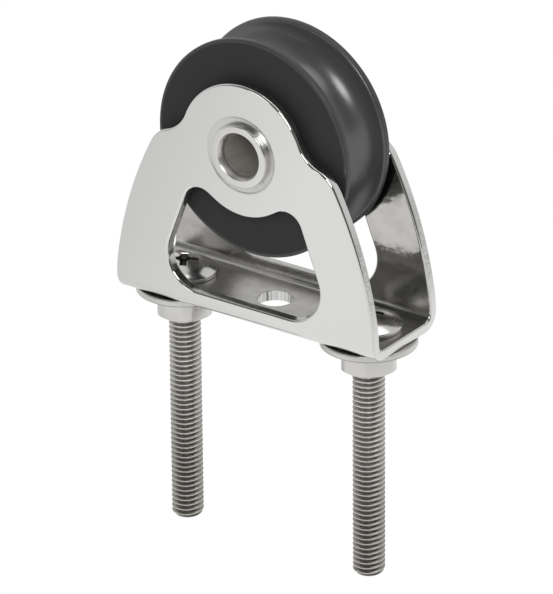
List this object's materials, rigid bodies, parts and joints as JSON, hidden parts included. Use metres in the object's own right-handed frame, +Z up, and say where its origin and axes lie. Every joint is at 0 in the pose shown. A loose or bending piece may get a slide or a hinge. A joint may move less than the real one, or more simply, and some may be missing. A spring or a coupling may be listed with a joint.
{
  "type": "stand-up block",
  "caption": "Deck-mounted stand-up block: a grooved sheave on a hollow axle between the cheeks of a bent U bracket, held down by two long screws with washers and nuts.",
  "frame": {"origin": "middle of the base plate's underside, the face that meets the deck, on the axis of the centre hole", "axes": "+X along the base in the plane of the sheave, +Y along the axle towards the back cheek, +Z up from the deck"},
  "size_m": [0.0595, 0.0222, 0.1029],
  "materials": {
    "polished_steel": "mirror-polished stainless steel sheet",
    "turned_steel": "turned and polished stainless steel tube",
    "black_sheave": "black satin turned acetal",
    "bearing_plastic": "white bearing plastic",
    "screw_steel": "rolled thread, bright stainless steel",
    "washer_steel": "stamped stainless steel",
    "nut_steel": "cold-formed stainless steel"
  },
  "bodies": {
    "frame": {"bracket": "polished_steel", "axle_tube": "turned_steel", "thrust_washer_front": "bearing_plastic", "thrust_washer_back": "bearing_plastic", "screw_left": "screw_steel", "screw_right": "screw_steel"},
    "sheave": {"sheave": "black_sheave", "sheave_bush": "bearing_plastic"},
    "washer_left": {"washer_left": "washer_steel"},
    "nut_left": {"nut_left": "nut_steel"},
    "washer_right": {"washer_right": "washer_steel"},
    "nut_right": {"nut_right": "nut_steel"}
  },
  "joints": [
    {"name": "sheave_spin", "type": "hinge", "parent": "frame", "child": "sheave", "pos_m": [0, 0, 0.0341], "axis": [0, 1, 0], "continuous": true},
    {"name": "washer_left_travel", "type": "slide", "parent": "frame", "child": "washer_left", "axis": [0, 0, -1], "range_m": [0, 0.041]},
    {"name": "nut_left_turn", "type": "hinge", "parent": "washer_left", "child": "nut_left", "pos_m": [-0.02075, 0, 0], "axis": [0, 0, -1], "range_deg": [0, 14762]},
    {"name": "washer_right_travel", "type": "slide", "parent": "frame", "child": "washer_right", "axis": [0, 0, -1], "range_m": [0, 0.041]},
    {"name": "nut_right_turn", "type": "hinge", "parent": "washer_right", "child": "nut_right", "pos_m": [0.02075, 0, 0], "axis": [0, 0, -1], "range_deg": [0, 14762]}
  ],
  "couplings": [
    {"joint": "nut_left_turn", "follows": "washer_left_travel", "rad_per_m": 6283.2},
    {"joint": "nut_right_turn", "follows": "washer_right_travel", "rad_per_m": 6283.2}
  ]
}
